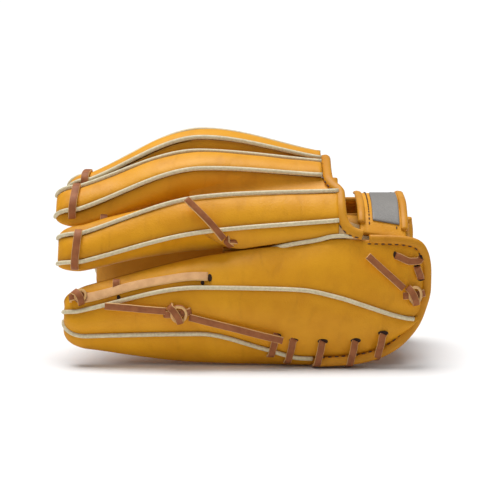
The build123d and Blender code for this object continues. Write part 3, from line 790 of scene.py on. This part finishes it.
bm = new_mesh()
FOLD_SEAM = [(22, -46.5, 90.0), (36, -52.7, 93.6), (56, -53.0, 97.0), (72, -53.4, 100.4), (88, -53.2, 100.6)]
seam_line = smooth(FOLD_SEAM, 40)
sweep(bm, seam_line, [(0, -1, 0.4)] * 40, PIPING, PIPING, ring=10)
fold_piping = piece(bm, "fold_seam", "piping", finish=FINISH["piping"], soft=0, body="hand")

# %% [markdown]
# ## Inside of the flaps and the palm
# The fronts of the two flaps run straight on into the palm, so they are one smooth sheet each,
# cut where the CAD has its seam. The palm hangs between the folds as an arch that flattens
# toward the heel. Felt lies behind it and a soft lining covers the felt.

# %% Fronts, palms, felt and linings
SHEET_ROOM = 0.35      # between two sheets that lie on each other
FELT_END = 118.0


def hinge_point(hinge, toward, reach=2.4):
    run = (Vector(toward) - Vector(hinge)).normalized()
    return tuple(Vector(hinge) + run * reach)


HEEL_LINE = [(43, 95), (32, 84), (16, 78), (-8, 77), (-28, 80)]


def palm_points(x):
    """The palm's pocket face in a plane across the glove."""
    share = 1 - (1 - min(max((x - 18) / (PALM_END - 18), 0.0), 1.0)) ** 2
    held = min(x, KNUCKLE)
    edges = [(THUMB_HINGE[0] + 4, THUMB_HINGE[1] + 20)]
    for stall, sides in ((index, (1,)), (middle, (1,)), (ring, (1, -1))):
        edges += [tuple(stall.at(held, *stall.front_edge(held, side)))[1:] for side in sides]
    path = [tuple(Vector(a).lerp(Vector(b), share)) for a, b in zip(edges, HEEL_LINE)]
    start, stop = hinge_point(THUMB_HINGE, path[0]), hinge_point(PINKY_HINGE, path[-1])
    return [Vector((x, *point)) for point in [start, *path, stop]]


def palm_spot(start, end, first=0, last=None, inset=0.0):
    """Part of the palm, laid inset toward the hand."""
    def spot(u, v):
        x = start + (end - start) * u
        points = palm_points(x)[first:last]
        here = curve(points, v)
        ahead, behind = curve(points, min(v + 0.02, 1)), curve(points, max(v - 0.02, 0))
        run = (ahead - behind).normalized()
        return here + Vector((0, -run.z, run.y)) * -inset
    return spot


def inner_felt(flap, inset):
    def spot(u, v):
        x = KNUCKLE + (FELT_END - KNUCKLE) * u
        return curve(flap.inner(x), 0.15 + 0.7 * v) + Vector((0, inset, 0))
    return spot


for flap, side in ((pinky, 1), (thumb, -1)):
    facing = [(0, side, 0)]
    panel(f"{flap.name}_front", [flap.lining(None, PALM_START - SEAM)], (40, 12), facing, lumps=1.2)
    panel(f"{flap.name}_palm", [flap.lining(PALM_START, PALM_END)], (44, 12), facing, lumps=1.6)
    bm = new_mesh()
    lay(bm, inner_felt(flap, -side * (LEATHER + SHEET_ROOM)), (20, 8), (0, side, 0), 0.0)
    pad = piece(bm, f"{flap.name}_felt", "pad", thick=FELT)

panel("palm", [palm_spot(PALM_START, PALM_END)], (48, 30), [(0, 0, -1)], lumps=1.2)
bm = new_mesh()
lay(bm, palm_spot(KNUCKLE + 1, PALM_END - 1, 2, -2, LEATHER + SHEET_ROOM), (26, 14), (0, 0, -1), 0.0)
piece(bm, "palm_felt", "pad", thick=FELT - SHEET_ROOM)
panel("palm_lining", [palm_spot(KNUCKLE + 1, PALM_END - 1, 2, -2, LEATHER + FELT + 2 * SHEET_ROOM)],
      (26, 14), [(0, 0, -1)], LINING, lumps=0.0)


def under_back(stall):
    def spot(u, v):
        x = KNUCKLE + (stall.end - KNUCKLE) * u
        return stall.at(x, (1.7 * v - 0.85) * stall.half(x), LEATHER + SHEET_ROOM - stall.puff(x, v) * 0.5)
    return spot


panel("back_lining", [under_back(stall) for stall in STALLS], (12, 6),
      [stall.out(40) for stall in STALLS], LINING, lumps=0.0)

# %% [markdown]
# ## The web
# The web fills the gap between index finger and thumb: two leather bars, a post between them and
# lace through all three. It hangs from the index finger's front edge down to the thumb's fold.

# %% Web bars, post and lace
WEB_TOP, WEB_BASE = (-118.0, -98.0), (-52.0, -28.0)


def web_points(x):
    top = Vector(index.at(x, *index.front_edge(x, 1))) + Vector((0, -1, -2.0))
    foot = Vector((x, *hinge_point(THUMB_HINGE, (61, 120))))
    waist = (top + foot) / 2 + Vector((0, 5, 3))
    return [top, waist, foot]


def web_spot(start, end, low=0.0, high=1.0):
    return lambda u, v: curve(web_points(start + (end - start) * u), low + (high - low) * v)


WEB_OUT = (0, 0.8, 0.5)
panel("web_top_bar", [web_spot(*WEB_TOP)], (12, 16), [WEB_OUT], lumps=0.4)
panel("web_base_bar", [web_spot(*WEB_BASE)], (14, 16), [WEB_OUT], lumps=0.4)
panel("web_post", [web_spot(WEB_TOP[1] + 0.5, WEB_BASE[0] - 0.5, 0.36, 0.64)], (20, 8), [WEB_OUT], lumps=0.4)
bm = new_mesh()
for x in (WEB_TOP[1] + 5, WEB_BASE[0] - 5):
    for low, high in ((0.03, 0.33), (0.67, 0.97)):
        line = [web_spot(x, x, low, high)(0, v) for v in spread(0, 1, 9)]
        sweep(bm, line, [WEB_OUT] * 9, LACE_WIDTH - 0.6, LACE_THICK, LACE_CORNER)
piece(bm, "web_lace", "band", soft=0)

# %% [markdown]
# ## Wrist strap
# A wide strap of the same leather closes the hand opening. Its edges are rolled, a bare patch is
# sewn on it and a black lining covers its underside. It hinges on the thumb's heel panel.

# %% Strap, patch, lining and heel panel
STRAP_START, STRAP_END, STRAP_THICK, STRAP_DROP = 90.0, 126.0, 4.0, 6.0
PATCH_THICK = 1.5


def strap_points(x):
    drop = (x - STRAP_START) / (STRAP_END - STRAP_START) * STRAP_DROP
    top = STRAP_HINGE[1] + STRAP_THICK / 2
    points = [(-46, 102 - drop), (-30, 116 - drop), (0, top + 2), (35, top + 3), (58, top + 1), (68, top)]
    return [Vector((x, *point)) for point in points]


def strap_spot(start, end, low=0.0, high=1.0, lift=0.0):
    def spot(u, v):
        points = strap_points(start + (end - start) * u)
        return curve(points, low + (high - low) * v) + Vector((0, -0.3, 1)).normalized() * lift
    return spot


UP = (0, -0.2, 1)
panel("wrist_strap", [strap_spot(STRAP_START, STRAP_END)], (18, 40), [UP], STRAP_THICK, lumps=1.0)
panel("strap_lining", [strap_spot(STRAP_START + 1, STRAP_END - 1, 0.16, 0.84, -STRAP_THICK - SHEET_ROOM)],
      (8, 24), [UP], LINING, lumps=0.0)
panel("strap_patch", [strap_spot(STRAP_START + 10, STRAP_END - 5, 0.12, 0.60, PATCH_THICK + SHEET_ROOM)],
      (14, 22), [UP], PATCH_THICK, lumps=0.3)


def heel_panel(u, v):
    x = index.end + SEAM + (STRAP_END - index.end - SEAM) * u
    y, z = STRAP_HINGE
    return Vector((x, y + 2.2, z - 1.1)).lerp(Vector((x, y + 10.2, z - 5.1)), v)


panel("thumb_heel_panel", [heel_panel], (20, 4), [(0, 0.45, 0.9)], STRAP_THICK, lumps=0.3)

# %% Rolled edges of the strap, sewn down with dark thread
STRAP_ROLL_WIDTH, STRAP_ROLL_THICK = 6.0, 3.4
strap_rolls, strap_seams = new_mesh(), new_mesh()
for x, step in ((STRAP_START + 1.5, STRAP_ROLL_WIDTH), (STRAP_END - 1.5, -STRAP_ROLL_WIDTH)):
    line = [strap_spot(x, x, lift=0.2)(0, v) for v in spread(0.09, 0.95, 40)]
    sweep(strap_rolls, line, [UP] * 40, STRAP_ROLL_WIDTH, STRAP_ROLL_THICK)
    seam = [strap_spot(x + step, x + step, lift=0.4)(0, v) for v in spread(0.10, 0.94, 40)]
    stitches(strap_seams, seam)
rolls = piece(strap_rolls, "strap_rolls", "leather", finish=FINISH["binding_leather"], soft=0,
              body="wrist_strap_body")
piece(strap_seams, "strap_stitches", "thread", finish=THREAD, soft=0, body="wrist_strap_body")

# %% [markdown]
# ## Rolled bindings
# The raw edges of the hand opening and of the heel are covered by a strip that is rolled over and
# sewn down. A fat oval band follows each edge, and a row of dark stitches runs along its inner
# side, where the needle goes through.

# %% Opening and heel bindings
ROLL_WIDTH, ROLL_THICK = 8.0, 5.6
OPENING = [
    (65, 50, 149), (65.5, 30, 150.2), (65.5, 10, 146.8), (66, -12, 141), (69, -22, 136.5),
    (75, -31, 130.5), (75.5, -41.5, 122), (77, -48.5, 111.8), (82.5, -52.5, 104.5), (92, -53.5, 101),
]
OPENING_OUT = [(-0.2, 0, 1), (-0.2, 0, 1), (-0.2, -0.3, 1), (-0.2, -0.5, 1), (-0.3, -0.6, 1),
               (-0.3, -0.8, 0.8), (-0.3, -1, 0.7), (-0.3, -1, 0.5), (-0.2, -1, 0.4), (0, -1, 0.5)]
PINKY_HEEL = [
    (97, -51.5, 97.5), (112, -51.5, 97.2), (126, -51, 96), (135, -50.5, 92.5), (139.5, -50, 84),
    (141, -50.5, 72), (140.8, -51, 60), (138, -51, 47), (132, -54, 33), (121, -57.5, 20.5),
    (108, -61, 12.5), (92, -63.5, 7.8), (76, -64.5, 6.0), (58, -64.5, 5.0),
]
THUMB_HEEL = [(132.5, 62, 99), (134, 68, 85), (134, 71, 70), (133, 70, 50), (131, 67, 33)]


def roll_with_seam(node, points, looks, count, body, inward, width=ROLL_WIDTH, thick=ROLL_THICK):
    """Rolled edge along points, and its stitches set inward by half its width."""
    line = smooth(points, count)
    faces = smooth(looks, count) if len(looks) > 1 else looks * count
    bm, thread = new_mesh(), new_mesh()
    sweep(bm, line, faces, width, thick, 0.85, 14)
    piece(bm, node, "roll", soft=0)
    seam = []
    for k, point in enumerate(line):
        run = (line[min(k + 1, count - 1)] - line[max(k - 1, 0)]).normalized()
        side = run.cross(Vector(faces[k])).normalized() * inward
        seam.append(point + side * (width / 2 - 0.4) + Vector(faces[k]).normalized() * thick * 0.30)
    stitches(thread, seam, 5.2, 3.6, 0.6)
    piece(thread, f"{node}_stitches", "thread", finish=THREAD, soft=0, body=body)


roll_with_seam("opening_binding", OPENING, OPENING_OUT, 90, "hand", 1)
roll_with_seam("pinky_heel_binding", PINKY_HEEL, [(0, -1, 0.15)], 110, "pinky_flap", 1, 7.5, 6.0)
roll_with_seam("thumb_heel_binding", THUMB_HEEL, [(0.3, 1, 0)], 40, "thumb_flap", -1, 7.0, 6.0)
heel_line = [p + Vector((3.8, 0, 0.6)) for p in smooth(palm_points(PALM_END)[1:-1], 50)]
bm = new_mesh()
sweep(bm, heel_line, [(0, 0, -1)] * 50, 7.0, 6.0, 0.85, 14)
piece(bm, "palm_heel_binding", "roll", soft=0)
print("binding rows", len(heel_line))

# %% [markdown]
# ## Lace through the leather
# Lace shows as short staples over each fingertip, studs between the fingers, bars at the wrist and
# loops round the heel roll. Each is a flat band on a smooth line, and each end goes into a punched
# hole, drawn as a dark oval of painted shadow.

# %% Fingertip staples, studs and punched holes
STAPLE_BACK = 15.0     # from the fingertip
holes = {"hand": new_mesh(), "pinky_flap": new_mesh()}


def lace(bm, points, looks, width=LACE_WIDTH, count=22):
    """Lace along a smooth line through points, its grain face turned to looks."""
    line = smooth(points, count)
    looks = smooth(looks, count) if len(looks) > 1 else looks * count
    sweep(bm, line, looks, width, LACE_THICK, LACE_CORNER)


def hole(body, at, run, face, long=7.6, wide=3.4):
    """Punched hole that a lace goes into, a dark oval of painted shadow flush with the leather."""
    out = Vector(face).normalized()
    side = out.cross(Vector(run)).normalized()
    ahead = side.cross(out).normalized()
    turn = Matrix((ahead, side, out)).transposed().to_quaternion()
    place = Matrix.LocRotScale(metres(at), turn, Vector((wide / 2, long / 2, 0.9)))
    bmesh.ops.create_uvsphere(holes[body], u_segments=14, v_segments=6, radius=0.001, matrix=place)


bm = new_mesh()
for stall in STALLS:
    x = stall.tip + STAPLE_BACK
    half, out = stall.half(x), stall.out(x)
    edge = half + 4.6
    raised = -(CROWN + LACE_THICK / 2 + 0.3)
    route = [stall.at(x + a * 0.10, a, d) for a, d in (
        (-edge + 2.5, 9.0), (-edge, 5.5), (-edge + 1.4, -0.8), (-edge * 0.55, raised + 0.5), (0, raised),
        (edge * 0.55, raised + 0.5), (edge - 1.4, -0.8), (edge, 5.5), (edge - 2.5, 9.0),
    )]
    sides = [stall.at(x, side, 0) - stall.at(x, 0, 0) for side in (-1, 1)]
    looks = [sides[0], sides[0], sides[0] + out, out, out, out, sides[1] + out, sides[1], sides[1]]
    lace(bm, route, looks, LACE_WIDTH + 0.6, 40)
    for side, look in zip((-1, 1), sides):
        end = stall.at(x + side * edge * 0.10, side * (edge - 1.2), 7.0)
        hole("hand", end, (0, 1, 0.2), look, LACE_WIDTH + 2.6, 5.0)
piece(bm, "fingertip_lace", "band", soft=0)

STUD_X = -107.0
bm = new_mesh()
for low, high in ((middle, index), (ring, middle)):
    start = low.at(STUD_X, low.half(STUD_X) - 2.5, 9.0)
    stop = high.at(STUD_X, 2.5 - high.half(STUD_X), 9.0)
    out = low.out(STUD_X) + high.out(STUD_X)
    top = (start + stop) / 2 + out.normalized() * 3.0
    lace(bm, [start, start.lerp(top, 0.7), top, stop.lerp(top, 0.7), stop], [out], count=20)
piece(bm, "finger_lace", "band", soft=0)

# %% Little finger: the suede strip, its stud and the bars at the wrist
bm = new_mesh()
strip = [pinky.reach(x, 2, 8.0, 1.2 + 0.5 * math.sin(x * 0.13)) for x in spread(-120, -26, 40)]
flipped = [-pinky.away(p.x, 2) for p in strip]
sweep(bm, strip, flipped, 7.2, LACE_THICK, 0.3)
piece(bm, "pinky_lace_strip", "band", soft=0)
hole("pinky_flap", pinky.reach(-24.5, 2, 8.0, 0.1), (1, 0, 0), pinky.away(-24.5, 2))

bm = new_mesh()
out = pinky.away(-96, 2)
STUD = ((10.0, -4), (11.5, 1.0), (14.5, 2.6), (17.5, 1.0), (19.0, -4))
lace(bm, [pinky.reach(-96, 2, d, lift) for d, lift in STUD], [out])
piece(bm, "pinky_stud_lace", "band", soft=0)

bm = new_mesh()
out = pinky.away(130, 2)
bars = (
    ((116.5, 46.0, -2.5), (119, 45.4, 1.6), (128, 43.5, 2.6), (134, 42.0, 2.2), (136.5, 41.0, -1.0)),
    ((133.5, 38.0, -1.0), (133.8, 36.0, 2.0), (135, 31.5, 2.4), (136, 27.5, 2.0), (136.2, 25.5, -1.5)),
)
for bar in bars:
    lace(bm, [pinky.reach(x, 2, d, lift) for x, d, lift in bar], [out])
    for x, d, _ in (bar[0], bar[-1]):
        run = (1, 0, 0) if bar is bars[0] else (0, 0, 1)
        hole("pinky_flap", pinky.reach(x, 2, d, 0.1), run, out, 5.8, 2.8)
piece(bm, "wrist_lace", "band", soft=0)
for x, d in ((-94, 3.0), (-30, 4.0)):
    hole("pinky_flap", pinky.reach(x, 2, d, 0.0), (1, 0, 0), pinky.away(x, 2), 4.5, 3.0)

# %% Heel lace loops round the roll
HEEL_LACE_X = (24.0, 37.0, 59.0, 84.0, 105.0)
LEAN = 1.2             # each loop slants toward the fingers on its way down
bm = new_mesh()
for x in HEEL_LACE_X:
    path = pinky.outer(x)
    low = path[1]
    rolled = 2.6 if x > 55 else 0.0
    route = [
        pinky.reach(x, 1, 14.0, -1.5), pinky.reach(x, 1, 13.0, 1.6), pinky.reach(x, 1, 7.0, 2.6 + rolled),
        low + Vector((0, -2.6 - rolled * 1.6, 1.5)),
        low + Vector((0, -1.5 - rolled * 1.3, -3.0 - rolled * 0.4)),
        low + Vector((0, 3.5, -4.6 + 0.08 * (24 - min(x, 60)))),
    ]
    route = [Vector((p.x + LEAN * (2.5 - k), p.y, max(p.z, 1.3))) for k, p in enumerate(route)]
    lace(bm, route, [(0, -1, 0.2), (0, -1, 0.2), (0, -1, 0), (0, -1, -0.2), (0, -0.8, -0.8), (0, -0.2, -1)],
         LACE_WIDTH, 30)
    hole("pinky_flap", pinky.reach(x + 2 * LEAN, 1, 14.2, 0.1), (0, 0, 1), pinky.away(x, 1), 8.0, 4.0)
piece(bm, "heel_lace", "band", soft=0)

# %% [markdown]
# ## Knots
# A knot of stiff lace shows three things: a band that runs through it, a loop that stands on edge
# round that band, and a band pulled across the top. The loop's pale raw edge faces outward, which
# is why its face turns with the radius. A curve tied for real would cost far more points.

# %% Knots
def knot(node, centre, facing, along_run, long, wide, high):
    """A loop on edge and two bands over and under it; each band is (start, stop, height), as shares."""
    out = Vector(facing).normalized()
    side = out.cross(Vector(along_run)).normalized()
    ahead = side.cross(out).normalized()

    def spot(a, b, h):
        return centre + ahead * a * long / 2 + side * b * wide / 2 + out * h * high / 2

    bm = new_mesh()
    turns = spread(-0.9, 4.9, 12)
    loop = [spot(0.12 + 0.62 * math.cos(t), 0.72 * math.sin(t), 0.35 + 0.30 * math.sin(t)) for t in turns]
    radial = [ahead * math.cos(t) + side * math.sin(t) for t in turns]
    lace(bm, loop, radial, high * 0.62, 36)
    for (a, b), (c, d), top in (((-1.10, -0.10), (1.05, 0.16), 0.15), ((-0.62, 0.62), (0.22, -0.80), 1.15)):
        line = [spot(a, b, -1.7), spot(a, b, top - 0.75), spot(a * 0.5, b * 0.5, top),
                spot(c * 0.5, d * 0.5, top), spot(c, d, top - 0.75), spot(c, d, -1.7)]
        outer = (spot(a, b, 0) - centre).normalized()
        inner = (spot(c, d, 0) - centre).normalized()
        lace(bm, line, [outer, outer + out, out, out, inner + out, inner], LACE_WIDTH, 26)
    piece(bm, node, "knot", soft=0)


def flap_knot(node, x, i, distance, long, wide, high):
    centre = pinky.reach(x, i, distance, high / 2 - 0.4)
    knot(node, centre, pinky.away(x, i), (1, 0, 0), long, wide, high)


flap_knot("pinky_lace_knot", -49, 1, 17, 18, 17, 7)
flap_knot("pinky_tip_knot", -124, 2, 10, 13, 12, 6)
flap_knot("heel_knot", 131, 2, 18, 14, 17, 7)
CROTCH_X = -8.0
crotch = ring.at(CROTCH_X, ring.front_edge(CROTCH_X, -1)[0] - 3.4, 11.0)
crotch_out = ring.at(CROTCH_X, -1, 0) - ring.at(CROTCH_X, 0, 0)
knot("crotch_knot", crotch, crotch_out, (1, 0, 0), 12, 11, 5)
for body, bm in holes.items():
    piece(bm, f"{body}_holes", "punched", finish=HOLE_SHADOW, soft=0, body=body)

# %% [markdown]
# ## Free ends of lace
# Four ends hang free. Each is a real length of lace that leaves its knot and lies on the
# leather, lifting a little in a slow wave. The route is a few control points, a NURBS spline runs
# near them, and the flat band follows the points read back from that spline.

# %% Tails
def tail(node, start, stop, facing, bends):
    run = (stop - start).normalized()
    side = run.cross(Vector(facing)).normalized()
    up = side.cross(run).normalized()
    route = [metres(start + run * u + up * v) for u, v in bends]
    drawn = bpy.data.curves.new(f"{node}_route", "CURVE")
    drawn.dimensions = "3D"
    drawn.resolution_u = 16
    spline = drawn.splines.new("NURBS")
    spline.points.add(len(route) - 1)
    for point, at in zip(spline.points, route):
        point.co = (*at, 1.0)
    spline.order_u = 3
    spline.use_endpoint_u = True
    holder = add_object(f"{node}_route", drawn)
    shape = bpy.data.meshes.new_from_object(holder)
    line = [vert.co.copy() for vert in shape.vertices]
    bpy.data.objects.remove(holder)
    bpy.data.curves.remove(drawn)
    bpy.data.meshes.remove(shape)
    bm = new_mesh()
    points = [at * 1000 + MIDDLE for at in line]
    sweep(bm, points, [facing] * len(points), LACE_WIDTH, LACE_THICK, LACE_CORNER)
    obj = piece(bm, node, "band", soft=0)


LIFT = SEAM + LACE_THICK / 2
outside = pinky.away(-103, 1)
tail("pinky_left_tail", pinky.reach(-57.5, 1, 19, LIFT + 1.5), pinky.reach(-103, 1, 24, LIFT + 3), outside,
     [(0, 0), (16, 2.0), (32, 1.0), (47, 3.0)])
tail("pinky_right_tail", pinky.reach(-40, 1, 14, LIFT + 1.0), pinky.reach(31, 1, 13, LIFT + 4), outside,
     [(0, 0), (18, 1.5), (37, 0.5), (56, 2.5), (73, 1.0)])
tail("heel_tail", pinky.reach(122.8, 2, 22, LIFT + 2), pinky.reach(97, 2, 37, LIFT + 2), pinky.away(97, 2),
     [(0, 0), (11, 1.5), (22, 0.8), (37, 3.0)])
tail("crotch_tail", ring.at(-14, -22, 1), ring.at(-38, 5, -8.5), ring.out(-8),
     [(0, 0), (13, 3.5), (26, 3.0), (42, 0.5)])

# %% [markdown]
# ## Floor, light and camera
# The floor is one large pale sheet. Light comes from a pale sky on all sides, a very soft sun
# almost overhead and one wide panel in front, so shadows stay open. A long lens low in front keeps
# the glove's lines nearly parallel.

# %% Stage
bm = bmesh.new()
bmesh.ops.create_grid(bm, x_segments=2, y_segments=2, size=14.0)
mesh = bpy.data.meshes.new("floor")
bm.to_mesh(mesh)
bm.free()
floor = add_object("floor", mesh)
mesh.materials.append(fibrous("pale_floor", (0.86, 0.86, 0.86, 1), (0.84, 0.84, 0.84, 1), 3.0, 0.8, 0.0001))

world = bpy.data.worlds.new("studio")
bpy.context.scene.world = world
world.use_nodes = True
sky = world.node_tree.nodes["Background"].inputs
sky["Color"].default_value = (0.97, 0.98, 1.0, 1)
sky["Strength"].default_value = 0.28


def lamp(name, kind, energy, place, aim, **settings):
    light = bpy.data.lights.new(name, kind)
    light.energy = energy
    for setting, value in settings.items():
        setattr(light, setting, value)
    obj = add_object(name, light)
    obj.location = place
    obj.rotation_euler = (Vector(aim) - Vector(place)).to_track_quat("-Z", "Y").to_euler()


CENTRE = (0.0055, -0.0695, 0.0906)
lamp("soft_sun", "SUN", 3.3, (-0.35, 0.45, 2.7), CENTRE, angle=math.radians(40))
lamp("top_panel", "AREA", 1.8, (-0.2, -0.9, 1.1), CENTRE, shape="RECTANGLE", size=1.4, size_y=1.0)

# %% Camera
LENS, SENSOR, FRAME_WIDTH = 200.0, 36.0, 0.38
ELEVATION = math.radians(8)
distance = FRAME_WIDTH * LENS / SENSOR
look = Vector((0, -math.cos(ELEVATION), math.sin(ELEVATION)))
camera_data = bpy.data.cameras.new("camera")
camera_data.lens = LENS
camera_data.sensor_width = SENSOR
camera = add_object("camera", camera_data)
camera.location = Vector(CENTRE) + look * distance
camera.rotation_euler = (-look).to_track_quat("-Z", "Y").to_euler()
bpy.context.scene.camera = camera
bpy.context.scene.view_settings.view_transform = "Standard"
print("camera distance", round(distance, 3), "m")
